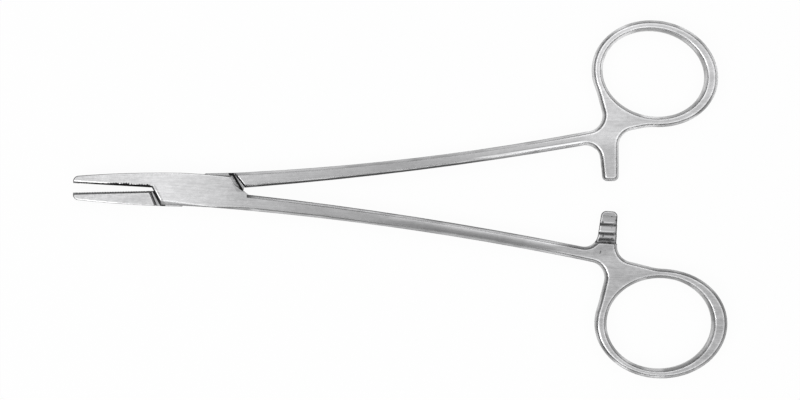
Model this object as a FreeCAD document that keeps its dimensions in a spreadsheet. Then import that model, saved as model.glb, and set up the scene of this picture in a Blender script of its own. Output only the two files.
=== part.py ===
import FreeCAD, Part
import math
import os
import re
import Sketcher

# Ring-handled needle holder with a box joint, in millimetres.
# The origin lies on the joint's axis, in the plane that the box rests on.
# X runs from the joint to the rings, Z is the axis of the joint pin.
# Each half is drawn closed, with its biting face on the X axis, and is then
# turned about the pin to the slightly open pose. The female half has its jaw
# at +Y and its shank at -Y. The male half is the mirror image of that plan.

SIZES = [
    ("rest_opening", 4.44, "degrees between the jaws as the holder lies"),
    ("box_thickness", 4.8, "box joint through both cheeks"),
    ("box_width", 7.5, "box joint across the cheeks"),
    ("tongue_thickness", 1.7, "male tongue inside the box"),
    ("cheek_clearance", 0.05, "running gap between tongue and each cheek"),
    ("wall_thickness", 1.0, "side walls of the mortise"),
    ("tongue_front", 8.9, "front end of the tongue, round the pin"),
    ("tongue_rear", 11.5, "rear end of the tongue, round the pin"),
    ("wall_clearance", 0.1, "gap between tongue and mortise walls, closed"),
    ("swing_limit", 37.0, "degrees that the mortise lets the tongue turn"),
    ("pin_diameter", 2.4, "joint pin"),
    ("pin_clearance", 0.03, "radial running gap of the tongue on the pin"),
    ("head_flare", 0.5, "countersunk ends of the pin, each way"),
    ("jaw_length", 27.7, "joint to the tip"),
    ("tip_width", 1.6, "one jaw across at the tip"),
    ("tip_thickness", 2.2, "jaw thickness at the tip"),
    ("tip_round", 1.3, "outer corner of the tip in plan"),
    ("jaw_bow", 0.3, "bulge of the jaw's back over its chord"),
    ("jaw_taper_start", 11.5, "where the jaw starts to thin"),
    ("bite_gap", 0.02, "biting face back from the centre line"),
    ("bite_bevel", 0.5, "bevel beside the biting face, on the flats"),
    ("serration_pitch", 0.6, "cross grooves of the biting face"),
    ("serration_width", 0.45, "width of one groove"),
    ("serration_depth", 0.2, "depth of one groove"),
    ("serration_margin", 0.8, "plain face at each end of the grooves"),
    ("cheek_heel", 9.45, "front end of the cheeks at the biting line"),
    ("cheek_toe", 7.15, "front end of the cheeks at the outer edge"),
    ("cheek_rear_low", 10.85, "rear end of the cheeks, inner corner along X"),
    ("cheek_rear_rise", 0.75, "rear end of the cheeks, inner corner along Y"),
    ("cheek_rear_top", 8.85, "rear end of the cheeks at the outer edge"),
    ("cheek_rear_bevel", 0.9, "bevel on the rear ends of the cheeks"),
    ("cheek_long_bevel", 1.2, "long bevel of the cheeks' lower edge, wide end"),
    ("cheek_long_fall", 0.5, "long bevel of the cheeks' lower edge, on the wall"),
    ("cheek_long_end", 7.0, "where the long bevel runs out"),
    ("cheek_back_bevel", 0.5, "short bevel of the cheeks' upper edge, wide end"),
    ("cheek_back_start", 1.5, "where the short bevel begins"),
    ("bevel_end_share", 0.04, "bevel at its narrow end, of its wide end"),
    ("bevel_fall", 0.4, "depth of the bevels beside the joint"),
    ("jaw_shoulder_in", 9.85, "male jaw shoulder at the biting line"),
    ("jaw_shoulder_out", 8.4, "male jaw shoulder at the outer edge"),
    ("shank_shoulder_out", 9.35, "male shank shoulder at the outer edge"),
    ("shoulder_bevel", 0.6, "bevel on the male shoulders"),
    ("shank_start", 4.0, "where the shank's edge leaves the box"),
    ("shank_root_cover", 1.5, "female shank's inner edge inside the box"),
    ("shank_flat_margin", 0.55, "box face inside the shank's rounded edge"),
    ("shank_thin_start", 14.0, "where the shank starts to thin"),
    ("shank_thin_end", 88.0, "where the shank reaches ring thickness"),
    ("ring_thickness", 3.6, "rings and webs"),
    ("rim_bevel", 0.65, "bevel round the shank and the ring, on the flats"),
    ("rim_fall", 0.7, "bevel round the shank and the ring, on the walls"),
    ("opening_bevel", 0.65, "bevel inside the ring, on the flats"),
    ("opening_fall", 0.9, "bevel inside the ring, on the wall"),
    ("web_blend", 3.7, "hollow between shank and ring"),
    ("web_flank_rise", 0.06, "top of the web's flank off the ring's centre, of its width"),
    ("web_flank_blend", 12.0, "hollow where the web's flank runs into the ring"),
    ("web_foot_back", 0.15, "foot of the web behind the ring's centre, of its length"),
    ("web_foot_rise", 0.45, "foot of the web off the ring's centre, of its width"),
    ("web_crown_cover", 0.3, "web's upper corner inside the ring's wire"),
    ("web_crown_blend", 12.0, "hollow where the web runs into the ring's top"),
    ("arm_place", 95.38, "root of the ratchet arm along the shank"),
    ("arm_root_width", 4.8, "ratchet arm at its root"),
    ("arm_tip_width", 3.6, "ratchet arm at its tip"),
    ("arm_lean", 0.4, "tip of the arm behind its root"),
    ("arm_root_cover", 0.6, "root of the arm inside the web"),
    ("arm_tip_round", 1.2, "corners of the arm's tip"),
    ("arm_shank_blend", 3.2, "hollow between arm and shank"),
    ("arm_ring_blend", 3.7, "hollow between arm and ring"),
    ("arm_clearance", 0.05, "gap between the two arms' faces"),
    ("ratchet_length", 7.4, "thinned part of the arm from its tip"),
    ("tooth_first", 1.0, "plain tip ahead of the first ratchet tooth"),
    ("tooth_pitch", 2.1, "ratchet teeth"),
    ("tooth_depth", 0.55, "ratchet teeth"),
    ("tooth_count", 3, "ratchet teeth on each arm"),
    ("female_root_x", 12.4, "crotch of the female half along X"),
    ("female_root_y", -0.3, "crotch of the female half across"),
    ("female_outer_bow", 1.84, "bulge of the shank's outer edge"),
    ("female_inner_bow", 1.01, "bulge of the shank's inner edge"),
    ("female_inner_end", -8.72, "inner edge of the shank under the arm"),
    ("female_web_top", -9.7, "upper edge of the web under the arm"),
    ("female_flank_x", 96.25, "foot of the web's flank along X"),
    ("female_flank_y", -11.4, "foot of the web's flank across"),
    ("female_flank_lean", 10.8, "degrees of the web's flank off Y"),
    ("female_arm_tip", 0.55, "tip of the arm over the centre line"),
    ("female_ring_x", 108.5, "centre of the ring's opening along X"),
    ("female_ring_y", -24.55, "centre of the ring's opening across"),
    ("female_opening_length", 24.3, "long way of the ring's opening"),
    ("female_opening_width", 20.9, "short way of the ring's opening"),
    ("female_ring_tilt", 3.5, "degrees of the ring's long way off X"),
    ("female_wire_end", 3.0, "ring's wire at the ends of the long way"),
    ("female_wire_side", 2.1, "ring's wire at the ends of the short way"),
    ("female_wire_shift", 0.4, "ring's outside moved away from the box"),
    ("male_root_x", 11.9, "crotch of the male half along X"),
    ("male_root_y", -0.3, "crotch of the male half across"),
    ("male_outer_bow", 1.9, "bulge of the shank's outer edge"),
    ("male_inner_bow", 1.05, "bulge of the shank's inner edge"),
    ("male_inner_end", -9.25, "inner edge of the shank under the arm"),
    ("male_web_top", -10.7, "upper edge of the web under the arm"),
    ("male_flank_x", 95.4, "foot of the web's flank along X"),
    ("male_flank_y", -11.8, "foot of the web's flank across"),
    ("male_flank_lean", 14.0, "degrees of the web's flank off Y"),
    ("male_arm_tip", -0.05, "tip of the arm short of the centre line"),
    ("male_ring_x", 106.2, "centre of the ring's opening along X"),
    ("male_ring_y", -24.5, "centre of the ring's opening across"),
    ("male_opening_length", 23.8, "long way of the ring's opening"),
    ("male_opening_width", 19.6, "short way of the ring's opening"),
    ("male_ring_tilt", 13.5, "degrees of the ring's long way off X"),
    ("male_wire_end", 2.6, "ring's wire at the ends of the long way"),
    ("male_wire_side", 2.3, "ring's wire at the ends of the short way"),
    ("male_wire_shift", 0.3, "ring's outside moved away from the box"),
]

# Places that several features share, as expressions of the sizes.
HALF_BOX = "(box_width / 2)"
WALL_IN = "(box_width / 2 - wall_thickness)"
TONGUE_SIDE = "(box_width / 2 - wall_thickness - wall_clearance)"
MIDDLE = "(box_thickness / 2)"

# Limits used to tell faces and edges apart.
TINY = 0.01
LEAST_CUT = 1e-6
FLAT_NORMAL = 0.9
WALL_NORMAL = 0.1
ROOT_MARGIN = 0.2

doc = FreeCAD.newDocument("NeedleHolder")
sizes = doc.addObject("Spreadsheet::Sheet", "Sizes")
for row, (alias, number, note) in enumerate(SIZES, start=1):
    sizes.set(f"A{row}", note)
    sizes.set(f"B{row}", str(number))
    sizes.setAlias(f"B{row}", alias)
doc.recompute()


def formula(text):
    """Return an expression with each size's alias spelt as a sheet cell."""
    return re.sub(r"\b([a-z]+(?:_[a-z]+)+)\b", r"Sizes.\1", text)


def value(text):
    """Return the number that an expression gives now."""
    return float(sizes.evalExpression(formula(text)))


def bind(item, path, text):
    """Tie a property or a constraint to an expression of the sizes."""
    item.setExpression(path, formula(text))


def origin_item(body, role):
    """Return one of the body's own origin planes or axes."""
    return [item for item in body.Origin.OriginFeatures if item.Role == role][0]


def new_sketch(body, name, role="XY_Plane", height="0"):
    """Return an empty sketch on an origin plane, lifted along its normal."""
    sketch = body.newObject("Sketcher::SketchObject", name)
    sketch.AttachmentSupport = (origin_item(body, role), [""])
    sketch.MapMode = "FlatFace"
    bind(sketch, "AttachmentOffset.Base.z", height)
    return sketch


def add_arc(sketch, start, end, bow):
    """Add an arc that stands off its chord by bow, to the left if positive."""
    chord = end - start
    radius = chord.Length ** 2 / (8 * abs(bow)) + abs(bow) / 2
    left = FreeCAD.Vector(-chord.y, chord.x, 0).normalize()
    side = math.copysign(1, bow)
    centre = (start + end) * 0.5 - left * side * (radius - abs(bow))
    first, last = (end, start) if bow > 0 else (start, end)
    circle = Part.Circle(centre, FreeCAD.Vector(0, 0, 1), radius)
    arc = Part.ArcOfCircle(circle, circle.parameter(first), circle.parameter(last))
    index = sketch.addGeometry(arc)
    return (index, 2, 1) if bow > 0 else (index, 1, 2)


def draw(sketch, corners, bows=None, side=1):
    """Close a sketch through corners, each a pair of expressions.

    bows maps the number of a side to the expression of its bulge, and left
    tells where it bulges. A side of -1 mirrors the outline about the X axis.
    """
    bows = bows or {}
    flip = "" if side > 0 else "-1 * "
    corners = [(x, f"{flip}({y})") for x, y in corners]
    points = [FreeCAD.Vector(value(x), value(y), 0) for x, y in corners]
    count = len(points)
    ends = []
    for number, start in enumerate(points):
        end = points[(number + 1) % count]
        if number in bows:
            text, left = bows[number]
            ends.append(add_arc(sketch, start, end, value(text) * left * side))
        else:
            index = sketch.addGeometry(Part.LineSegment(start, end))
            ends.append((index, 1, 2))
    for number in range(count):
        index, first, last = ends[number]
        following = ends[(number + 1) % count]
        sketch.addConstraint(
            Sketcher.Constraint("Coincident", index, last, following[0], following[1])
        )
    for number, (x, y) in enumerate(corners):
        index, first, last = ends[number]
        for kind, text in (("DistanceX", x), ("DistanceY", y)):
            place = sketch.addConstraint(
                Sketcher.Constraint(kind, -1, 1, index, first, value(text))
            )
            bind(sketch, f"Constraints[{place}]", text)
    for number, (text, left) in bows.items():
        (x0, y0), (x1, y1) = corners[number], corners[(number + 1) % count]
        chord = f"(({x1}) - ({x0})) ^ 2 + (({y1}) - ({y0})) ^ 2"
        radius = f"({chord}) / (8 * ({text})) + ({text}) / 2"
        place = sketch.addConstraint(
            Sketcher.Constraint("Radius", ends[number][0], value(radius))
        )
        bind(sketch, f"Constraints[{place}]", radius)
    return sketch


def draw_oval(sketch, length, width, x, y, tilt, side):
    """Put an ellipse with its centre and its long way where a half needs it."""
    flip = "" if side > 0 else "-1 * "
    long_half, short_half = value(length) / 2, value(width) / 2
    oval = Part.Ellipse(FreeCAD.Vector(0, 0, 0), long_half, short_half)
    index = sketch.addGeometry(oval)
    sketch.exposeInternalGeometry(index)
    sketch.addConstraint(Sketcher.Constraint("Coincident", index, 3, -1, 1))
    sketch.addConstraint(Sketcher.Constraint("Horizontal", index + 1))
    for axis, text in ((index + 1, length), (index + 2, width)):
        place = sketch.addConstraint(
            Sketcher.Constraint("Distance", axis, value(text))
        )
        bind(sketch, f"Constraints[{place}]", text)
    bind(sketch, "AttachmentOffset.Base.x", x)
    bind(sketch, "AttachmentOffset.Base.y", f"{flip}({y})")
    bind(sketch, "AttachmentOffset.Rotation.Angle", f"{flip}({tilt})")
    return sketch


def pad(body, sketch, name, length):
    """Extrude a sketch upwards from its plane."""
    feature = body.newObject("PartDesign::Pad", name)
    feature.Profile = sketch
    bind(feature, "Length", length)
    doc.recompute()


def pocket(body, sketch, name, length=None, way="Symmetric"):
    """Cut a sketch away: both ways, up or down, and right through by default."""
    before = body.Tip.Shape.Volume
    feature = body.newObject("PartDesign::Pocket", name)
    feature.Profile = sketch
    feature.SideType = "Symmetric" if way == "Symmetric" else "One side"
    feature.Reversed = way == "Up"
    if length is None:
        feature.Type = "ThroughAll"
    else:
        feature.Type = "Length"
        bind(feature, "Length", length)
    doc.recompute()
    if not feature.Shape.Volume < before - LEAST_CUT:
        raise RuntimeError(f"{name} cuts nothing")
    return feature


def round_edges(body, name, edges, radius):
    """Round the given edges of the body's last feature."""
    base = body.Tip
    feature = body.newObject("PartDesign::Fillet", name)
    feature.Base = (base, edges)
    bind(feature, "Radius", radius)
    doc.recompute()


def bevel_edges(body, name, edges, width, fall):
    """Bevel edges by width on the flat and by fall on the wall."""
    base = body.Tip
    feature = body.newObject("PartDesign::Chamfer", name)
    feature.Base = (base, edges)
    feature.ChamferType = "Two distances"
    bind(feature, "Size", width)
    bind(feature, "Size2", fall)
    doc.recompute()


def upright_edge(shape, x, y):
    """Return the name of the upright edge nearest to a place in plan."""
    place = FreeCAD.Vector(value(x), value(y), 0)
    found = []
    for number, edge in enumerate(shape.Edges, start=1):
        box = edge.BoundBox
        if box.ZLength > TINY and max(box.XLength, box.YLength) < TINY:
            spot = FreeCAD.Vector(box.Center.x, box.Center.y, 0)
            found.append((spot.distanceToPoint(place), f"Edge{number}"))
    return min(found)[1]


def uprightness(face):
    """Return how far the normal at a face's middle points up or down, up to 1."""
    u0, u1, v0, v1 = face.ParameterRange
    return abs(face.normalAt((u0 + u1) / 2, (v0 + v1) / 2).z)


def middle_of(edge):
    """Return the point halfway along an edge."""
    return edge.valueAt((edge.FirstParameter + edge.LastParameter) / 2)


def in_plan(point):
    """Return a point's place in plan."""
    return FreeCAD.Vector(point.x, point.y, 0)


def rim_edges(shape, wanted):
    """Return the wanted edges between flats and walls, clear of the tongue's layer."""
    layer = value("tongue_thickness / 2") + TINY
    names = []
    for number, edge in enumerate(shape.Edges, start=1):
        tilts = [uprightness(face) for face in shape.ancestorsOfType(edge, Part.Face)]
        flats = [tilt for tilt in tilts if tilt > FLAT_NORMAL]
        walls = [tilt for tilt in tilts if tilt < WALL_NORMAL]
        clear = abs(middle_of(edge).z - value(MIDDLE)) > layer
        if len(flats) == 1 and len(walls) == 1 and clear and wanted(edge):
            names.append(f"Edge{number}")
    return names


def tangent_bow(run, drop):
    """Return the bulge of an arc that starts along X and falls by drop."""
    chord = f"(({run}) ^ 2 + ({drop}) ^ 2)"
    radius = f"({chord} / (2 * ({drop})))"
    return f"({radius} - sqrt({radius} ^ 2 - {chord} / 4))"


def thin_shank(body):
    """Thin the shank from the box to the ring with a double curve, both faces."""
    run = "(shank_thin_end - shank_thin_start)"
    drop = "((box_thickness - ring_thickness) / 2)"
    bow = tangent_bow(f"{run} / 2", f"{drop} / 2")
    for name, base, left in (("top", "box_thickness", 1), ("under", "0", -1)):
        inward = f"{base} + ({-left}) * {drop}"
        outward = f"{base} + ({left}) * {drop}"
        corners = [
            ("shank_thin_start", base),
            (f"shank_thin_start + {run} / 2", f"{base} + ({-left}) * {drop} / 2"),
            ("shank_thin_end", inward),
            ("shank_thin_end * 2", inward),
            ("shank_thin_end * 2", outward),
            ("shank_thin_start", outward),
        ]
        sketch = new_sketch(body, f"shank_{name}_profile", "XZ_Plane")
        draw(sketch, corners, {0: (bow, left), 1: (bow, -left)})
        pocket(body, sketch, f"shank_{name}_thinning")


def thin_jaw(body):
    """Thin the jaw towards its tip with one curve on each face."""
    run = "(jaw_length - jaw_taper_start)"
    drop = "((box_thickness - tip_thickness) / 2)"
    bow = tangent_bow(run, drop)
    for name, base, left in (("top", "box_thickness", -1), ("under", "0", 1)):
        inward = f"{base} + ({left}) * {drop}"
        outward = f"{base} + ({-left}) * {drop}"
        corners = [
            ("-jaw_taper_start", base),
            ("-jaw_length", inward),
            ("-jaw_length - tip_width", inward),
            ("-jaw_length - tip_width", outward),
            ("-jaw_taper_start", outward),
        ]
        sketch = new_sketch(body, f"jaw_{name}_profile", "XZ_Plane")
        draw(sketch, corners, {0: (bow, left)})
        pocket(body, sketch, f"jaw_{name}_thinning")


def handle_plan(body, half, side):
    """Build the full-thickness shank, ratchet arm and ring disc of one half."""
    outer_long = f"({half}_opening_length + 2 * {half}_wire_end)"
    outer_short = f"({half}_opening_width + 2 * {half}_wire_side)"
    ring_x = f"({half}_ring_x + {half}_wire_shift)"
    inner_end = ("arm_place", f"{half}_inner_end")
    web_under_arm = ("arm_place", f"{half}_web_top")
    web_crown = (ring_x, f"{half}_ring_y + {outer_short} / 2 - web_crown_cover")
    web_foot = (
        f"{ring_x} - web_foot_back * {outer_long}",
        f"{half}_ring_y + web_foot_rise * {outer_short}",
    )
    if half == "female":
        start = ("shank_start", "-box_width / 2")
        root = ("female_root_x - shank_root_cover", "female_root_y")
    else:
        start = ("shank_shoulder_out", "-box_width / 2")
        root = ("male_root_x", "male_root_y")
    corners = [start, web_foot, web_crown, web_under_arm, inner_end, root]
    bows = {0: (f"{half}_outer_bow", 1), 4: (f"{half}_inner_bow", -1)}

    sketch = draw(new_sketch(body, f"{half}_shank_plan"), corners, bows, side)
    pad(body, sketch, f"{half}_shank", "box_thickness")

    sketch = new_sketch(body, f"{half}_ring_plan")
    draw_oval(sketch, outer_long, outer_short, ring_x, f"{half}_ring_y",
              f"{half}_ring_tilt", side)
    pad(body, sketch, f"{half}_ring_disc", "box_thickness")

    flank_foot = (f"{half}_flank_x", f"{half}_flank_y")
    flank_y = f"({half}_ring_y + web_flank_rise * {outer_short})"
    flank_run = f"({half}_flank_y - {flank_y}) * tan({half}_flank_lean)"
    flank_top = (f"{half}_flank_x - {flank_run}", flank_y)
    sketch = new_sketch(body, f"{half}_flank_plan")
    draw(sketch, [flank_top, flank_foot, web_foot], side=side)
    pad(body, sketch, f"{half}_flank", "box_thickness")

    tip = f"{half}_arm_tip"
    sketch = new_sketch(body, f"{half}_arm_plan")
    corners = [
        ("arm_place - arm_root_width / 2", f"{half}_web_top - arm_root_cover"),
        ("arm_place + arm_root_width / 2", f"{half}_web_top - arm_root_cover"),
        ("arm_place + arm_lean + arm_tip_width / 2", tip),
        ("arm_place + arm_lean - arm_tip_width / 2", tip),
    ]
    draw(sketch, corners, side=side)
    pad(body, sketch, f"{half}_arm", "box_thickness")

    flip = "" if side > 0 else "-1 * "
    blends = [
        ("web_blend", flank_foot),
        ("web_flank_blend", flank_top),
        ("arm_shank_blend", ("arm_place - arm_root_width / 2", f"{half}_inner_end")),
        ("arm_ring_blend", ("arm_place + arm_root_width / 2", f"{half}_web_top")),
        ("web_crown_blend", web_crown),
        ("arm_tip_round", corners[2]),
        ("arm_tip_round", corners[3]),
    ]
    for number, (radius, (x, y)) in enumerate(blends, start=1):
        edge = upright_edge(body.Tip.Shape, x, f"{flip}({y})")
        round_edges(body, f"{half}_blend_{number}", [edge], radius)


def handle_form(body, half, side):
    """Thin the handle, open its ring and round its edges."""
    thin_shank(body)
    sketch = new_sketch(body, f"{half}_opening_plan")
    draw_oval(sketch, f"{half}_opening_length", f"{half}_opening_width",
              f"{half}_ring_x", f"{half}_ring_y", f"{half}_ring_tilt", side)
    pocket(body, sketch, f"{half}_opening")

    centre = FreeCAD.Vector(value(f"{half}_ring_x"), side * value(f"{half}_ring_y"), 0)
    reach = value(f"{half}_opening_length") / 2 + TINY
    start_x = value(f"{half}_root_x") + ROOT_MARGIN

    def in_opening(edge):
        inside = in_plan(middle_of(edge)).distanceToPoint(centre) < reach
        return inside and edge.BoundBox.YLength > reach

    def outside(edge):
        return not in_opening(edge) and edge.BoundBox.XMax > start_x

    edges = rim_edges(body.Tip.Shape, outside)
    bevel_edges(body, f"{half}_rim", edges, "rim_bevel", "rim_fall")
    edges = rim_edges(body.Tip.Shape, in_opening)
    bevel_edges(body, f"{half}_opening_rim", edges, "opening_bevel", "opening_fall")


def arc_bow(radius, rise, level):
    """Return the bulge of an arc round the pin between two heights in plan."""
    run = f"({radius} - sqrt({radius} ^ 2 - ({rise}) ^ 2))"
    half_chord = f"(({run}) ^ 2 + ({rise} + {level}) ^ 2) / 4"
    return f"({radius} - sqrt({radius} ^ 2 - {half_chord}))"


def neck_bow():
    """Return the bulge of the tongue's neck round the pin."""
    return f"({TONGUE_SIDE} * (1 - cos(swing_limit / 2)))"


def near_line(x0, y0, x1, y1, side):
    """Return a test for edges whose middle lies on a line in plan."""
    start = FreeCAD.Vector(value(x0), side * value(y0), 0)
    end = FreeCAD.Vector(value(x1), side * value(y1), 0)

    def wanted(edge):
        return in_plan(middle_of(edge)).distanceToLineSegment(start, end).Length < TINY

    return wanted


def is_mouth(edge):
    """Tell whether an edge is a mouth of the pin's hole on an outer face."""
    if edge.Curve.TypeId != "Part::GeomCircle":
        return False
    round_pin = abs(edge.Curve.Radius - value("pin_diameter") / 2) < TINY
    height = edge.Curve.Center.z
    return round_pin and abs(height - value(MIDDLE)) > value("tongue_thickness")


def bore(body, half, diameter):
    """Drill the hole for the pin through one half."""
    sketch = new_sketch(body, f"{half}_bore_plan")
    circle = Part.Circle(FreeCAD.Vector(0, 0, 0), FreeCAD.Vector(0, 0, 1),
                         value(diameter) / 2)
    index = sketch.addGeometry(circle)
    sketch.addConstraint(Sketcher.Constraint("Coincident", index, 3, -1, 1))
    place = sketch.addConstraint(
        Sketcher.Constraint("Diameter", index, value(diameter))
    )
    bind(sketch, f"Constraints[{place}]", diameter)
    pocket(body, sketch, f"{half}_bore")


def thin_and_bevel_jaw(body, half, side, heel, toe):
    """Round and thin one jaw, then bevel its biting face and what ends it."""
    flip = "" if side > 0 else "-1 * "
    edge = upright_edge(body.Tip.Shape, "-jaw_length", f"{flip}tip_width")
    round_edges(body, f"{half}_tip_round", [edge], "tip_round")
    thin_jaw(body)
    bite = near_line("-jaw_length", "bite_gap", f"-{heel}", "bite_gap", side)
    end = near_line(f"-{heel}", "bite_gap", *toe, side)

    def wanted(edge):
        return bite(edge) or end(edge)

    edges = rim_edges(body.Tip.Shape, wanted)
    bevel_edges(body, f"{half}_bite_bevels", edges, "bite_bevel", "bevel_fall")


def cut_serrations(body, half, side, heel):
    """Cut the cross grooves of one biting face."""
    first = f"-{heel} - serration_margin"
    corners = [
        (first, "-serration_depth"),
        (first, "bite_gap"),
        (f"{first} - serration_width / 2", "bite_gap + serration_depth"),
        (f"{first} - serration_width", "bite_gap"),
        (f"{first} - serration_width", "-serration_depth"),
    ]
    sketch = draw(new_sketch(body, f"{half}_serration_plan"), corners, side=side)
    groove = pocket(body, sketch, f"{half}_serration")
    run = f"(jaw_length - {heel} - 2 * serration_margin)"
    count = f"floor({run} / serration_pitch)"
    pattern = body.newObject("PartDesign::LinearPattern", f"{half}_serrations")
    pattern.Originals = [groove]
    pattern.Direction = (origin_item(body, "X_Axis"), [""])
    pattern.Reversed = True
    bind(pattern, "Occurrences", count)
    bind(pattern, "Length", f"({count} - 1) * serration_pitch")
    body.Tip = pattern
    doc.recompute()


def thin_arm(body, half, side):
    """Halve the ratchet arm's thickness and cut its teeth."""
    tip = f"{half}_arm_tip"
    face = f"{MIDDLE} - {side} * arm_clearance"
    corners = [
        ("arm_place - arm_root_width", f"{tip} - ratchet_length"),
        ("arm_place + arm_root_width", f"{tip} - ratchet_length"),
        ("arm_place + arm_root_width", f"{tip} + tooth_pitch"),
        ("arm_place - arm_root_width", f"{tip} + tooth_pitch"),
    ]
    sketch = new_sketch(body, f"{half}_arm_recess_plan", height=face)
    draw(sketch, corners, side=side)
    pocket(body, sketch, f"{half}_arm_recess", way="Up" if side > 0 else "Down")

    first = f"{tip} - tooth_first"
    corners = [
        (f"{side} * ({first})", face),
        (f"{side} * ({first} - tooth_pitch)", face),
        (f"{side} * ({first} - tooth_pitch)", f"{face} - {side} * tooth_depth"),
    ]
    sketch = new_sketch(body, f"{half}_tooth_profile", "YZ_Plane", "arm_place")
    draw(sketch, corners)
    tooth = pocket(body, sketch, f"{half}_tooth", "2 * arm_root_width")
    pattern = body.newObject("PartDesign::LinearPattern", f"{half}_teeth")
    pattern.Originals = [tooth]
    pattern.Direction = (origin_item(body, "Y_Axis"), [""])
    pattern.Reversed = side > 0
    bind(pattern, "Occurrences", "tooth_count")
    bind(pattern, "Length", "(tooth_count - 1) * tooth_pitch")
    body.Tip = pattern
    doc.recompute()


def joint_pin():
    """Turn the riveted pin with its two countersunk ends."""
    body = doc.addObject("PartDesign::Body", "joint_pin")
    shaft = "pin_diameter / 2"
    corners = [
        ("0", "0"),
        (f"{shaft} + head_flare", "0"),
        (shaft, "head_flare"),
        (shaft, "box_thickness - head_flare"),
        (f"{shaft} + head_flare", "box_thickness"),
        ("0", "box_thickness"),
    ]
    sketch = draw(new_sketch(body, "pin_profile", "XZ_Plane"), corners)
    turning = body.newObject("PartDesign::Revolution", "pin_turning")
    turning.Profile = sketch
    turning.ReferenceAxis = (origin_item(body, "Z_Axis"), [""])
    turning.Angle = 360
    doc.recompute()
    return body


def taper_edge(body, name, side, wide_x, narrow_x, width):
    """Bevel a long edge of the cheeks, top and under, from wide to narrow."""
    for level, base, inward in (("top", "box_thickness", -1), ("under", "0", 1)):
        sketches = []
        for end, place, share in (("wide", wide_x, "1"), ("narrow", narrow_x, "bevel_end_share")):
            edge_y = f"{side} * {HALF_BOX}"
            across = f"{-side} * {width} * {share}"
            fall = f"{inward} * cheek_long_fall * {share}"
            corners = [
                (f"{edge_y} + 2 * {across}", f"{base} - {fall}"),
                (f"{edge_y} - {across}", f"{base} + 2 * {fall}"),
                (f"{edge_y} - {across}", f"{base} - {fall}"),
            ]
            sketch = new_sketch(body, f"{name}_{level}_{end}", "YZ_Plane", place)
            sketches.append(draw(sketch, corners))
        before = body.Tip.Shape.Volume
        loft = body.newObject("PartDesign::SubtractiveLoft", f"{name}_{level}")
        loft.Profile = sketches[0]
        loft.Sections = [sketches[1]]
        loft.Ruled = True
        doc.recompute()
        if not loft.Shape.Volume < before - LEAST_CUT:
            raise RuntimeError(f"{name} cuts nothing")


def female_half():
    """Build the forging with the upper jaw, the slotted box and the lower ring."""
    body = doc.addObject("PartDesign::Body", "female_half")
    handle_plan(body, "female", 1)
    handle_form(body, "female", 1)
    corners = [
        ("-jaw_length", "bite_gap"),
        ("-cheek_heel", "bite_gap"),
        ("-cheek_toe", f"-{HALF_BOX}"),
        ("shank_start", f"-{HALF_BOX}"),
        ("female_root_x", f"-{HALF_BOX} + shank_flat_margin"),
        ("female_root_x", "female_root_y"),
        ("cheek_rear_low", "cheek_rear_rise"),
        ("cheek_rear_top", HALF_BOX),
        (f"-{HALF_BOX} * tan(swing_limit)", HALF_BOX),
        ("-jaw_length", "tip_width"),
    ]
    sketch = draw(new_sketch(body, "female_jaw_plan"), corners, {8: ("jaw_bow", -1)})
    pad(body, sketch, "female_jaw", "box_thickness")
    toe = ("-cheek_toe", f"-{HALF_BOX}")
    thin_and_bevel_jaw(body, "female", 1, "cheek_heel", toe)
    cut_serrations(body, "female", 1, "cheek_heel")

    wanted = near_line("cheek_rear_low", "cheek_rear_rise", "cheek_rear_top", HALF_BOX, 1)
    edges = rim_edges(body.Tip.Shape, wanted)
    bevel_edges(body, "cheek_rear_bevels", edges, "cheek_rear_bevel", "bevel_fall")
    taper_edge(body, "cheek_long_bevel", -1, "-cheek_heel", "cheek_long_end", "cheek_long_bevel")
    taper_edge(body, "cheek_back_bevel", 1, "cheek_rear_low", "cheek_back_start", "cheek_back_bevel")

    front = "(tongue_front + wall_clearance)"
    rear = "(tongue_rear + wall_clearance)"
    beyond = "box_width"
    corners = [
        (f"-sqrt({front} ^ 2 - {WALL_IN} ^ 2)", WALL_IN),
        (f"-{front}", "0"),
        ("-cheek_heel - wall_thickness", "0"),
        ("-cheek_heel - wall_thickness", f"-{beyond}"),
        ("0", f"-{beyond}"),
        ("0", f"-{WALL_IN}"),
        (f"sqrt({rear} ^ 2 - {WALL_IN} ^ 2)", f"-{WALL_IN}"),
        (rear, "0"),
        (rear, beyond),
        ("0", beyond),
        ("0", WALL_IN),
    ]
    bows = {
        0: (arc_bow(front, WALL_IN, "0"), -1),
        6: (arc_bow(rear, WALL_IN, "0"), -1),
    }
    sketch = new_sketch(body, "mortise_plan", height=MIDDLE)
    draw(sketch, corners, bows)
    pocket(body, sketch, "mortise", "tongue_thickness + 2 * cheek_clearance")

    bore(body, "female", "pin_diameter")
    mouths = [
        f"Edge{number}"
        for number, edge in enumerate(body.Tip.Shape.Edges, start=1)
        if is_mouth(edge)
    ]
    bevel_edges(body, "pin_countersinks", mouths, "head_flare", "head_flare")
    thin_arm(body, "female", 1)
    return body


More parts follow.
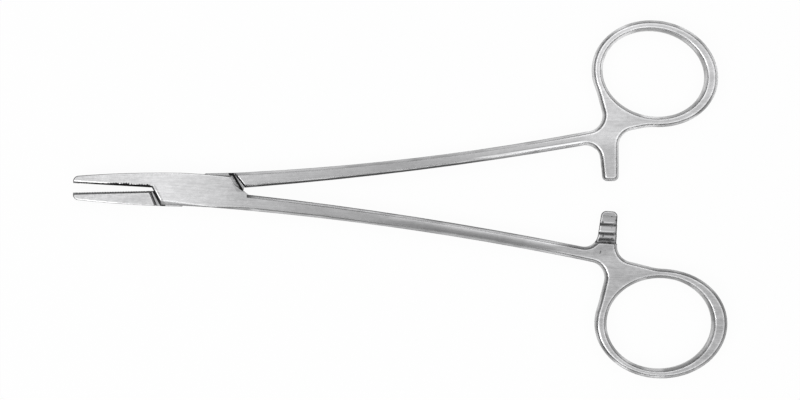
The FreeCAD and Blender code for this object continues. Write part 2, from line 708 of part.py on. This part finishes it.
def male_half():
    """Build the forging with the lower jaw, the tongue and the upper ring."""
    body = doc.addObject("PartDesign::Body", "male_half")
    handle_plan(body, "male", -1)
    neck_x = f"{TONGUE_SIDE} * sin(swing_limit)"
    neck_y = f"{TONGUE_SIDE} * cos(swing_limit)"
    flank_x = f"{HALF_BOX} * tan(swing_limit)"
    corners = [
        ("-jaw_length", "bite_gap"),
        ("-tongue_front", "bite_gap"),
        (f"-sqrt(tongue_front ^ 2 - {TONGUE_SIDE} ^ 2)", f"-{TONGUE_SIDE}"),
        ("0", f"-{TONGUE_SIDE}"),
        (neck_x, f"-{neck_y}"),
        (flank_x, f"-{HALF_BOX}"),
        ("shank_shoulder_out + 2 * wall_thickness", f"-{HALF_BOX}"),
        ("male_root_x + wall_thickness", "male_root_y - wall_thickness / 2"),
        ("tongue_rear", "male_root_y"),
        (f"sqrt(tongue_rear ^ 2 - {TONGUE_SIDE} ^ 2)", TONGUE_SIDE),
        ("0", TONGUE_SIDE),
        (f"-{neck_x}", neck_y),
        (f"-{flank_x}", HALF_BOX),
        ("-jaw_length", "tip_width"),
    ]
    bows = {
        1: (arc_bow("tongue_front", TONGUE_SIDE, "bite_gap"), 1),
        3: (neck_bow(), -1),
        8: (arc_bow("tongue_rear", TONGUE_SIDE, "-male_root_y"), 1),
        10: (neck_bow(), -1),
        12: ("jaw_bow", -1),
    }
    sketch = draw(new_sketch(body, "male_jaw_plan"), corners, bows, -1)
    pad(body, sketch, "male_jaw", "box_thickness")

    beyond = "box_width"
    corners = [
        ("-jaw_shoulder_in", f"-{beyond}"),
        ("-jaw_shoulder_in", "0"),
        ("-jaw_shoulder_out", HALF_BOX),
        ("-jaw_shoulder_out", beyond),
        ("male_root_x", beyond),
        ("male_root_x", "male_root_y"),
        ("shank_shoulder_out", f"-{HALF_BOX}"),
        ("shank_shoulder_out", f"-{beyond}"),
    ]
    for name, sign, way in (("top", "", "Up"), ("under", "-1 * ", "Down")):
        height = f"{MIDDLE} + {sign}tongue_thickness / 2"
        sketch = new_sketch(body, f"recess_{name}_plan", height=height)
        draw(sketch, corners, side=-1)
        pocket(body, sketch, f"recess_{name}", way=way)
    handle_form(body, "male", -1)
    shoulder = ("male_root_x", "male_root_y", "shank_shoulder_out", f"-{HALF_BOX}")
    edges = rim_edges(body.Tip.Shape, near_line(*shoulder, -1))
    bevel_edges(body, "shank_shoulder_bevels", edges, "shoulder_bevel", "bevel_fall")

    toe = ("-jaw_shoulder_out", HALF_BOX)
    thin_and_bevel_jaw(body, "male", -1, "jaw_shoulder_in", toe)
    cut_serrations(body, "male", -1, "jaw_shoulder_in")
    bore(body, "male", "pin_diameter + 2 * pin_clearance")
    thin_arm(body, "male", -1)
    return body


def turn(body, angle):
    """Turn a body about the pin by an angle in degrees."""
    body.Placement = FreeCAD.Placement(
        FreeCAD.Vector(0, 0, 0), FreeCAD.Rotation(FreeCAD.Vector(0, 0, 1), 0)
    )
    bind(body, "Placement.Rotation.Angle", angle)


def finish():
    """Build every piece, pose the halves, check them and write them out."""
    bodies = [female_half(), male_half(), joint_pin()]
    turn(bodies[0], "-rest_opening / 2")
    turn(bodies[1], "rest_opening / 2")
    doc.recompute()
    for item in doc.Objects:
        if "Invalid" in item.State or "Error" in item.State:
            raise RuntimeError(f"{item.Name} failed: {item.State}")
    os.makedirs("parts", exist_ok=True)
    for body in bodies:
        body.Label = body.Name
        shape = body.Shape
        if shape.isNull() or not shape.isValid() or len(shape.Solids) != 1:
            raise RuntimeError(f"{body.Label} is not one sound solid")
        shape.exportStep(f"parts/{body.Label}.step")
        print(body.Label, round(shape.Volume, 1), shape.BoundBox)


finish()
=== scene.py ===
import math

import bpy
from mathutils import Matrix, Vector

# Dressing of the needle holder: brushed steel, a white table, soft light and
# a camera that looks straight down on it. Blender works in metres. The steel
# reads a point's place in millimetres, in the plan of its own half: the pin at
# the origin, the jaw towards -X and the ring towards +X, the biting face at
# y = 0, the jaw above it and the shank below.

MM = 0.001
PICTURE = (800, 400)
PIN_PIXEL = (194, 190)       # where the picture shows the pin
SCALE = 0.23 * MM            # one pixel of the picture at the object's middle
ROLL = math.radians(1.03)    # the object lies turned a little clockwise
DISTANCE = 0.45              # from the camera to the object's middle
SENSOR = 36.0                # the camera's sensor width, in mm
REST_TURN = math.radians(2.22)    # each half at rest, from its own plan
MID_Z = 2.4 * MM             # middle of the thickness

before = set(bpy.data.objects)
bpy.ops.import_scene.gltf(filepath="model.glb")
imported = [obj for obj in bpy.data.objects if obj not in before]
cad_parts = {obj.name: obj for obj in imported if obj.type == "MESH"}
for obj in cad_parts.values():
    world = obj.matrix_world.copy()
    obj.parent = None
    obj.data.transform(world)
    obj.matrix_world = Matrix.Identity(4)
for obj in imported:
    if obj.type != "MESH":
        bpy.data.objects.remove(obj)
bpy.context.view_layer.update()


class Graph:
    """Small helper that adds nodes to one material or to the world."""

    def __init__(self, owner):
        owner.use_nodes = True
        self.tree = owner.node_tree

    def add(self, kind, inputs=None, **settings):
        node = self.tree.nodes.new(kind)
        for key, item in settings.items():
            setattr(node, key, item)
        for key, item in (inputs or {}).items():
            self.put(item, node.inputs[key])
        return node

    def put(self, item, socket):
        if isinstance(item, bpy.types.NodeSocket):
            self.tree.links.new(item, socket)
        else:
            socket.default_value = item

    def split(self, vector):
        return tuple(self.add("ShaderNodeSeparateXYZ", {"Vector": vector}).outputs)

    def math(self, operation, first, second=0.0, third=0.0):
        node = self.add("ShaderNodeMath", operation=operation)
        for socket, item in zip(node.inputs, (first, second, third)):
            self.put(item, socket)
        return node.outputs[0]

    def total(self, first, *rest):
        for item in rest:
            first = self.math("ADD", first, item)
        return first

    def product(self, first, *rest):
        for item in rest:
            first = self.math("MULTIPLY", first, item)
        return first

    def line(self, fac, low, high, low_value=0.0, high_value=1.0, kind="LINEAR"):
        """From low_value at low to high_value at high, and level beyond both."""
        node = self.add("ShaderNodeMapRange", clamp=True, interpolation_type=kind)
        for key, item in (("Value", fac), ("From Min", low), ("From Max", high),
                          ("To Min", low_value), ("To Max", high_value)):
            self.put(item, node.inputs[key])
        return node.outputs[0]

    def ramp(self, fac, low, high, low_value=0.0, high_value=1.0):
        """A line that starts and ends softly."""
        return self.line(fac, low, high, low_value, high_value, "SMOOTHSTEP")

    def band(self, fac, low, high, soft):
        """One between low and high, fading to nought over soft at each end."""
        rise = self.ramp(fac, low - soft, low)
        fall = self.ramp(fac, high, high + soft, 1.0, 0.0)
        return self.product(rise, fall)

    def curve(self, fac, points):
        """Straight runs through points of (place, level)."""
        level = points[0][1]
        for (x0, y0), (x1, y1) in zip(points, points[1:]):
            level = self.total(level, self.line(fac, x0, x1, 0.0, y1 - y0))
        return level

    def toned(self, tone, factor, mask):
        """The tone, times the factor where the mask is one."""
        return self.product(tone, self.total(1.0, self.product(
            self.total(factor, -1.0), mask)))

    def dimmed(self, tone, level, mask):
        """The tone, times a fixed level where the mask is one, with soft ends."""
        return self.product(tone, self.ramp(mask, 0.0, 1.0, 1.0, level))

    def noise(self, vector, stretch, detail, roughness):
        mapped = self.add("ShaderNodeMapping", {"Vector": vector, "Scale": stretch})
        node = self.add("ShaderNodeTexNoise", {
            "Vector": mapped.outputs[0], "Scale": 1.0, "Detail": detail,
            "Roughness": roughness,
        })
        return node.outputs["Fac"]

    def grey(self, level):
        """A grey that is a trace bluer than neutral."""
        blue = self.product(level, 1.006)
        return self.add("ShaderNodeCombineColor", {
            "Red": level, "Green": level, "Blue": blue}).outputs[0]


# Lightness of the steel along each half, from the jaw's tip to the ring, with painted light
# and shade: the two halves of one steel have different tones.
TONES_AND_SHADE = {
    "female": [(-26, 0.42), (-20, 0.58), (-8, 0.74), (2, 0.66), (10, 0.53), (24, 0.42),
               (50, 0.34), (70, 0.32), (84, 0.40), (96, 0.46), (108, 0.40)],
    "male": [(-26, 0.40), (-20, 0.55), (-8, 0.62), (10, 0.58), (24, 0.50), (50, 0.41),
             (70, 0.52), (84, 0.54), (96, 0.62), (108, 0.53)],
}
TONE_MOST = 0.94     # the lightest tone that steel has
SHADE_AND_PITS_LEFT = 0.04          # what is left of the tone in the painted shade and in the pits

# Places along each shank, in mm, where its outer and inner edge are measured on
# the frame. At the last one the inner edge already flares towards the ratchet arm,
# and the flare is taken off.
SHANK_PLACES = (14, 30, 50, 70, 92)
FLARE = 0.56

# Painted highlights and painted shade in strips across the shank, from its outer edge at 0
# to its inner edge at 1: one profile for the end by the box and one for the end by the
# ring.
PAINTED_STRIP_PROFILES = {
    "female": (
        [(0.0, 0.50), (0.05, 0.76), (0.11, 0.82), (0.145, 0.32), (0.18, 0.32),
         (0.22, 0.92), (0.4, 1.0), (0.80, 1.05), (0.84, 0.85), (0.88, 2.5), (0.95, 2.5),
         (1.0, 0.5)],
        [(0.0, 0.5), (0.06, 0.78), (0.12, 0.80), (0.18, 0.62), (0.32, 0.66),
         (0.50, 0.90), (0.64, 1.35), (0.74, 1.8), (0.88, 2.2), (0.94, 1.2), (1.0, 0.5)],
    ),
    "male": (
        [(0.0, 0.5), (0.05, 1.0), (0.10, 1.15), (0.16, 0.88), (0.3, 1.02), (0.8, 0.92),
         (0.86, 0.80), (0.90, 0.16), (1.0, 0.16)],
        [(0.0, 0.35), (0.06, 0.62), (0.12, 1.0), (0.3, 1.0), (0.55, 0.93), (0.60, 0.50),
         (0.645, 1.8), (0.78, 1.9), (0.82, 0.55), (1.0, 0.50)],
    ),
}
# Where along the shank the first profile turns into the second.
CHANGE = {"female": (40, 56), "male": (62, 76)}

# What else differs between the halves: which way the half's plan lies, where its shank's
# polish and painted strips end, and how much of the tone is left in the painted shade on
# the jaw's softened edges and on its bevels, and on the ratchet arm. The bite's painted
# shade is 1 at its darkest.
FINISH = {
    "female": {"side": 1, "shank_end": 82.0, "edge": 0.34, "rim": 0.45, "arm": 0.84,
               "bite": 1.0},
    "male": {"side": -1, "shank_end": 87.0, "edge": 0.80, "rim": 0.75, "arm": 0.82,
             "bite": 0.08},
}

# The cheeks' slanting ends in the female half's plan, in mm: the corner by the
# biting line and the corner at the box's side.
REAR_END = ((10.85, 0.75), (8.85, 3.75))
FRONT_END = ((-9.45, 0.0), (-7.15, -3.75))

# Places in the half's own plan, from and to, and pitches along it.
SHANK_START = 16.0
BOX_FADE = (12.0, 15.0)       # where the box's finish gives way to the shank's
PIN_FADE = (2.0, 3.2)         # distance from the pin's axis where rounding starts
TONGUE_X = (-10.6, 12.6)      # the thin tongue in the box
TONGUE_TOP = (0.95, 1.1)      # where the tongue ends above and below the middle
CHEEK_FOOT = (1.0, 1.2)       # where the cheeks begin above and below it
LONG_BEVEL_X = (-9.8, 7.5)    # the bevel along the box's lower side
BITE_X = (-22.0, -10.9)       # the serrated biting face
BITE_PITCH = 0.6
BITE_DEPTH = 0.46             # how far its painted shade reaches at least
ARM_Y = (-9.6, -7.6)          # the root of the ratchet arm
TEETH_Y = (-6.9, -0.4)        # the ratchet's teeth
TOOTH_PITCH = 2.1
TOOTH_START = 0.17            # the y that the teeth are counted from
GROOVE_X = (93.6, 96.6)       # the ratchet's grooves

# The steel's noises: stretch in 1/mm, detail and roughness.
NOISES = {
    "brush": ((0.14, 7.0, 7.0), 4.0, 0.62),
    "scratch": ((0.09, 4.2, 4.2), 2.0, 0.5),
    "mottle": ((0.9, 1.6, 1.6), 5.0, 0.62),
    "cloud": ((0.10, 0.35, 0.35), 3.0, 0.5),
    "smear": ((0.16, 0.16, 0.30), 2.0, 0.5),
    "speck": ((3.1, 3.6, 3.6), 2.0, 0.5),
    "pits": ((1.25, 1.25, 0.2), 0.0, 0.5),
}


class Surface:
    """What a half's steel knows of the point that it shades, in mm."""

    def __init__(self, g, name):
        self.g = g
        self.name = name
        self.finish = FINISH[name]
        side = self.finish["side"]
        coords = g.add("ShaderNodeTexCoord")
        self.place = g.add("ShaderNodeMapping", {
            "Vector": coords.outputs["Object"], "Rotation": (0, 0, side * REST_TURN),
            "Scale": (1 / MM, 1 / MM, 1 / MM),
        }).outputs[0]
        self.x, mirrored, z = g.split(self.place)
        self.y = g.product(mirrored, side)
        self.from_middle = g.math("ABSOLUTE", g.total(z, -MID_Z / MM))
        # 1 on a flat that lies level, 0 on an upright wall.
        geometry = g.add("ShaderNodeNewGeometry")
        self.lying = g.math("ABSOLUTE", g.split(geometry.outputs["True Normal"])[2])
        # The same of the normal that is rounded over the edges, away from the pin.
        from_pin = g.math("SQRT", g.total(
            g.product(self.x, self.x), g.product(self.y, self.y)))
        rounding = g.curve(self.x, [(9.0, 0.5), (13.0, 0.16), (76.0, 0.20), (90.0, 0.80)])
        radius = g.product(g.ramp(from_pin, *PIN_FADE), rounding, MM)
        self.rounded = g.add("ShaderNodeBevel", {"Radius": radius}, samples=16).outputs[0]
        self.leaning = g.math("ABSOLUTE", g.split(self.rounded)[2])
        self.on_shank = g.band(self.x, SHANK_START, self.finish["shank_end"], 4.0)
        self.brush = self.noise("brush")
        self.scratch = self.noise("scratch")
        self.mottle = self.noise("mottle")
        self.cloud = self.noise("cloud")

    def noise(self, name):
        return self.g.noise(self.place, *NOISES[name])

    def beyond(self, end):
        """Distance beyond a cheek's slanting end, which lies as at rest."""
        inner, outer = (Vector(corner) for corner in end)
        run = outer - inner
        outward = Vector((run.y, -run.x)).normalized()
        reach = outward.dot(inner)
        # The male half's plan is turned against the cheeks' and mirrored.
        side = self.finish["side"]
        outward = Matrix.Rotation((side - 1) * REST_TURN, 2) @ outward
        return self.g.total(self.g.product(self.x, outward.x),
                            self.g.product(self.y, side * outward.y), -reach)


def shank_edges(name):
    """Outer and inner edge across of a half's shank, each as points for a curve."""
    side = FINISH[name]["side"]
    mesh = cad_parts[name + "_half"].data
    turn = Matrix.Rotation(side * REST_TURN, 3, "Z")
    plan = [turn @ vertex.co / MM for vertex in mesh.vertices]
    outer = []
    inner = []
    for place in SHANK_PLACES:
        cuts = []
        for edge in mesh.edges:
            a, b = (plan[index] for index in edge.vertices)
            if (a.x - place) * (b.x - place) < 0:
                cuts.append(side * a.lerp(b, (place - a.x) / (b.x - a.x)).y)
        flare = FLARE if place == SHANK_PLACES[-1] else 0.0
        outer.append((place, min(cuts)))
        inner.append((place, max(cuts) - flare))
    return outer, inner


def polish_and_painted_light(g, s):
    """Tone of the flats: along the half with painted light and shade, uneven, and with
    painted highlights and painted shade in strips across the shank.
    """
    # Tone along the half, with painted light and shade.
    tone = g.curve(s.x, TONES_AND_SHADE[s.name])
    uneven = g.total(g.ramp(s.mottle, 0.3, 0.7, -0.035, 0.035),
                     g.ramp(s.cloud, 0.3, 0.7, -0.03, 0.03),
                     g.ramp(s.brush, 0.32, 0.68, -0.045, 0.045))
    tone = g.total(tone, g.product(uneven, g.ramp(s.on_shank, 0.0, 1.0, 1.0, 0.5)))
    tone = g.product(tone, g.ramp(s.noise("speck"), 0.73, 0.80, 1.0, 0.72))

    outer, inner = (g.curve(s.x, points) for points in shank_edges(s.name))
    across = g.math("DIVIDE", g.math("SUBTRACT", s.y, outer),
                    g.math("SUBTRACT", inner, outer))
    # Painted highlights and painted shade in strips across the shank.
    near, far = (g.curve(across, points) for points in PAINTED_STRIP_PROFILES[s.name])
    wander = g.ramp(s.cloud, 0.3, 0.7, -3.0, 3.0)
    late = g.line(g.total(s.x, wander), *CHANGE[s.name])
    painted_strips = g.total(g.product(near, g.math("SUBTRACT", 1.0, late)), g.product(far, late))
    return g.toned(tone, painted_strips, s.on_shank)


def edge_light_and_arm(g, s, tone):
    """Painted highlights on the ridges and painted shade on the edges, bevels and walls;
    the walls' uneven grinding and the duller ratchet arm.
    """
    # Painted highlight on the ridges beside the bevels, most of all on the rings.
    ridge_highlight = g.product(g.band(s.leaning, 0.83, 0.96, 0.05),
                      g.ramp(s.cloud, 0.30, 0.62, 0.45, 1.0),
                      g.curve(s.x, [(10.0, 0.3), (14.0, 0.0), (74.0, 0.15), (92.0, 1.0)]))
    tone = g.total(tone, g.product(ridge_highlight, 0.24))
    # Painted shade on the jaws and the box at the edges of their flats and on the bevels.
    before_shank = g.ramp(s.x, *BOX_FADE, 1.0, 0.0)
    edge = g.product(g.ramp(s.leaning, 0.80, 0.97, 1.0, 0.0), g.ramp(s.lying, 0.94, 0.97),
                     before_shank)
    tone = g.dimmed(tone, s.finish["edge"], edge)
    rim = g.product(g.band(s.lying, 0.50, 0.86, 0.04), before_shank)
    tone = g.dimmed(tone, s.finish["rim"], rim)
    # Walls and bevels were ground by hand, less evenly than the flats.
    uneven = g.ramp(s.noise("smear"), 0.38, 0.62, 0.70, 1.35)
    steep = g.product(g.ramp(s.lying, 0.70, 0.90, 1.0, 0.0),
                      g.ramp(s.x, 80.0, 90.0, 0.3, 1.0))
    tone = g.toned(tone, uneven, steep)
    # Upright walls are painted darker than the flats: painted shade.
    tone = g.product(tone, g.ramp(s.lying, 0.2, 0.6, 0.50, 1.0))
    # The ratchet arms kept more of the forging's grey.
    arm = g.product(g.ramp(s.y, *ARM_Y), g.ramp(s.x, 91.5, 94.0))
    return g.dimmed(tone, s.finish["arm"], arm)


def female_marks(g, s, tone):
    # The cheeks' slanting ends are painted darker, in streaks, beside the gaps: painted
    # shade.
    rear = g.product(g.band(s.beyond(REAR_END), -0.9, 0.3, 0.15), g.ramp(s.y, -0.2, 0.4))
    front = g.product(g.band(s.beyond(FRONT_END), -0.9, 0.3, 0.15),
                      g.ramp(s.y, -0.2, 0.6, 1.0, 0.0))
    ends = g.product(g.math("MAXIMUM", rear, front), g.ramp(s.from_middle, *CHEEK_FOOT))
    tone = g.toned(tone, g.ramp(s.scratch, 0.35, 0.65, 0.62, 0.86), ends)
    # Painted shade on the slopes of the ratchet's slanting teeth.
    teeth = g.product(g.band(s.y, *TEETH_Y, 0.2), g.ramp(s.x, 92.5, 93.5),
                      g.ramp(s.lying, 0.97, 0.985, 1.0, 0.0))
    tone = g.dimmed(tone, 0.56, teeth)
    # Painted shade on the long bevel along the box's lower side.
    long_bevel = g.product(g.band(s.lying, 0.90, 0.95, 0.01),
                           g.band(s.x, *LONG_BEVEL_X, 0.3),
                           g.ramp(s.y, -2.4, -2.0, 1.0, 0.0))
    return g.dimmed(tone, 0.62, long_bevel)


def bite_shade(g, s):
    """Painted shade along the serrated biting face, dark between its teeth."""
    tooth = g.math("PINGPONG", s.x, BITE_PITCH / 2)
    uneven = g.ramp(s.mottle, 0.35, 0.65, -0.12, 0.18)
    ragged = g.total(g.product(tooth, 0.8), uneven, BITE_DEPTH)
    # It thins out towards the jaw's tip.
    ragged = g.product(ragged, g.ramp(s.x, -24.0, -16.0, 0.45, 1.0))
    return g.product(g.ramp(g.math("SUBTRACT", s.y, ragged), -0.05, 0.05, 1.0, 0.0),
                     g.band(s.x, *BITE_X, 3.5), s.finish["bite"])


def gap_shade(g, s):
    """Painted shade in the joint's gaps: the tongue is painted dark beside the cheeks'
    slanting ends, and less dark elsewhere on it.
    """
    beside = g.math("MAXIMUM", g.band(s.beyond(FRONT_END), -0.6, 0.36, 0.12),
                    g.band(s.beyond(REAR_END), -0.6, 0.36, 0.12))
    tongue = g.product(g.band(s.x, *TONGUE_X, 0.2), g.ramp(s.lying, 0.4, 0.6),
                       g.ramp(s.from_middle, *TONGUE_TOP, 1.0, 0.0))
    return g.product(tongue, g.total(g.product(beside, 0.65), 0.35))


def ratchet_marks(g, s, tone):
    """The ratchet's grooves: painted shade at the foot of each tooth, a painted highlight
    above it, and pits.
    """
    run = g.math("WRAP", g.total(s.y, -TOOTH_START), 0.0, TOOTH_PITCH)
    inside = g.product(g.band(g.total(s.x, g.product(s.y, 0.05)), *GROOVE_X, 0.5),
                       g.ramp(s.from_middle, 1.0, 1.1, 1.0, 0.0))
    # Painted shade at the foot of each tooth.
    foot = g.product(g.band(run, 1.25, 1.62, 0.28), g.band(s.y, -7.0, -1.6, 0.15), inside,
                     g.ramp(s.mottle, 0.3, 0.55, 0.45, 1.0))
    # A painted highlight above each tooth.
    painted_glint = g.product(g.band(run, 1.90, 2.02, 0.12), g.band(s.y, -6.8, -1.4, 0.15), inside)
    pit = g.product(g.ramp(s.noise("pits"), 0.70, 0.76), g.band(s.y, -9.5, -0.6, 0.3),
                    g.band(s.x, 93.5, 97.5, 0.4))
    # The painted shade at the teeth's feet, with the pits.
    shade_and_pits = g.product(g.math("MAXIMUM", foot, pit), 0.62)
    return g.total(tone, g.product(painted_glint, 0.22)), shade_and_pits


def steel(name):
    """Satin stainless steel of one half, brushed along the half's own X."""
    material = bpy.data.materials.new(name + "_steel")
    g = Graph(material)
    s = Surface(g, name)
    tone = edge_light_and_arm(g, s, polish_and_painted_light(g, s))
    if name == "female":
        tone, shade_and_pits = ratchet_marks(g, s, female_marks(g, s, tone))
    else:
        shade_and_pits = gap_shade(g, s)
    # Painted shade of the bite, the joint's gaps and the ratchet's grooves, with the pits,
    # darkens the tone.
    shade_and_pits = g.math("MAXIMUM", bite_shade(g, s), shade_and_pits)
    tone = g.dimmed(g.math("MINIMUM", tone, TONE_MOST), SHADE_AND_PITS_LEFT, shade_and_pits)

    shader = g.tree.nodes["Principled BSDF"]
    g.put(g.grey(tone), shader.inputs["Base Color"])
    shader.inputs["Metallic"].default_value = 1.0
    rough = g.total(g.ramp(s.mottle, 0.3, 0.7, -0.03, 0.03),
                    g.ramp(s.scratch, 0.35, 0.7, 0.20, 0.27), g.product(shade_and_pits, 0.35))
    g.put(rough, shader.inputs["Roughness"])
    bump = g.add("ShaderNodeBump", {
        "Strength": 0.22, "Distance": 0.012 * MM, "Normal": s.rounded,
        "Height": g.total(s.brush, g.product(s.mottle, 0.35)),
    })
    g.put(bump.outputs[0], shader.inputs["Normal"])
    return material


def dress(node, material):
    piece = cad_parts[node]
    piece.data.materials.clear()
    piece.data.materials.append(material)


female_steel = steel("female")
dress("female_half", female_steel)
dress("male_half", steel("male"))
dress("joint_pin", female_steel)


FLOOR_HALF = 0.6
FLOOR_BELOW = 0.1 * MM    # the floor's gap to the object
FLOOR_WHITE = 0.95        # white to the eye; the rest keeps the object's shadow


def floor():
    mesh = bpy.data.meshes.new("floor")
    corners = [(x * FLOOR_HALF, y * FLOOR_HALF, 0)
               for x, y in ((-1, -1), (1, -1), (1, 1), (-1, 1))]
    mesh.from_pydata(corners, [], [(0, 1, 2, 3)])
    piece = bpy.data.objects.new("floor", mesh)
    bpy.context.scene.collection.objects.link(piece)
    piece.location = (0.05, 0, -FLOOR_BELOW)
    material = bpy.data.materials.new("floor_white")
    g = Graph(material)
    shader = g.tree.nodes["Principled BSDF"]
    shader.inputs["Base Color"].default_value = (0.9, 0.9, 0.9, 1)
    shader.inputs["Roughness"].default_value = 0.9
    rays = g.add("ShaderNodeLightPath").outputs
    seen = g.math("MAXIMUM", rays["Is Camera Ray"], rays["Is Glossy Ray"])
    seen = g.math("MAXIMUM", seen, rays["Is Transmission Ray"])
    white = g.add("ShaderNodeEmission", {"Color": (1, 1, 1, 1), "Strength": 1.0})
    mix = g.add("ShaderNodeMixShader")
    g.put(g.product(seen, FLOOR_WHITE), mix.inputs[0])
    g.put(shader.outputs[0], mix.inputs[1])
    g.put(white.outputs[0], mix.inputs[2])
    g.put(mix.outputs[0], g.tree.nodes["Material Output"].inputs["Surface"])
    mesh.materials.append(material)


# Brightness of the light tent by the sine of the height above the table, and of
# the low strips of light on its near side, at -Y, and its far side.
TENT = [(0.0, 0.50), (0.06, 0.26), (0.35, 0.16), (0.60, 0.34), (0.72, 0.80), (0.80, 1.60),
        (0.87, 1.60), (0.95, 1.02), (0.985, 0.94), (1.0, 0.92)]
NEAR_STRIP = 1.9
FAR_STRIP = 0.8


def tent():
    world = bpy.data.worlds.new("studio")
    bpy.context.scene.world = world
    g = Graph(world)
    back = g.tree.nodes["Background"]
    _, y, z = g.split(g.add("ShaderNodeTexCoord").outputs["Generated"])
    low = g.band(z, -0.2, 0.08, 0.12)
    near_side = g.product(g.ramp(y, -0.96, -0.72, 1.0, 0.0), NEAR_STRIP)
    far_side = g.product(g.ramp(y, 0.72, 0.96), FAR_STRIP)
    strips = g.product(low, g.total(near_side, far_side))
    g.put(g.grey(g.total(g.curve(z, TENT), strips)), back.inputs["Color"])
    back.inputs["Strength"].default_value = 1.0


def softbox(name, place, target, width, height, watts):
    lamp = bpy.data.lights.new(name, "AREA")
    lamp.shape = "RECTANGLE"
    lamp.size = width
    lamp.size_y = height
    lamp.energy = watts
    piece = bpy.data.objects.new(name, lamp)
    bpy.context.scene.collection.objects.link(piece)
    piece.location = place
    aim = Vector(target) - Vector(place)
    piece.rotation_euler = aim.to_track_quat("-Z", "Y").to_euler()
    piece.visible_camera = False


floor()
tent()
softbox("key", place=(-0.30, -0.25, 0.50), target=(0.05, 0, 0), width=0.35, height=0.25,
        watts=0.8)


def camera():
    """Looks straight down, so that the pin falls on its pixel."""
    data = bpy.data.cameras.new("camera")
    piece = bpy.data.objects.new("camera", data)
    bpy.context.scene.collection.objects.link(piece)
    across = Vector((math.cos(ROLL), math.sin(ROLL), 0))
    up = Vector((-math.sin(ROLL), math.cos(ROLL), 0))
    right, down = (size / 2 - pixel for size, pixel in zip(PICTURE, PIN_PIXEL))
    centre = (across * right - up * down) * SCALE
    piece.matrix_world = Matrix((
        (across.x, up.x, 0, centre.x),
        (across.y, up.y, 0, centre.y),
        (0, 0, 1, MID_Z + DISTANCE),
        (0, 0, 0, 1),
    ))
    data.sensor_fit = "HORIZONTAL"
    data.sensor_width = SENSOR
    data.lens = SENSOR * DISTANCE / (PICTURE[0] * SCALE)
    data.clip_start = 0.01
    bpy.context.scene.camera = piece


camera()
bpy.context.scene.view_settings.view_transform = "Standard"

bpy.context.view_layer.update()
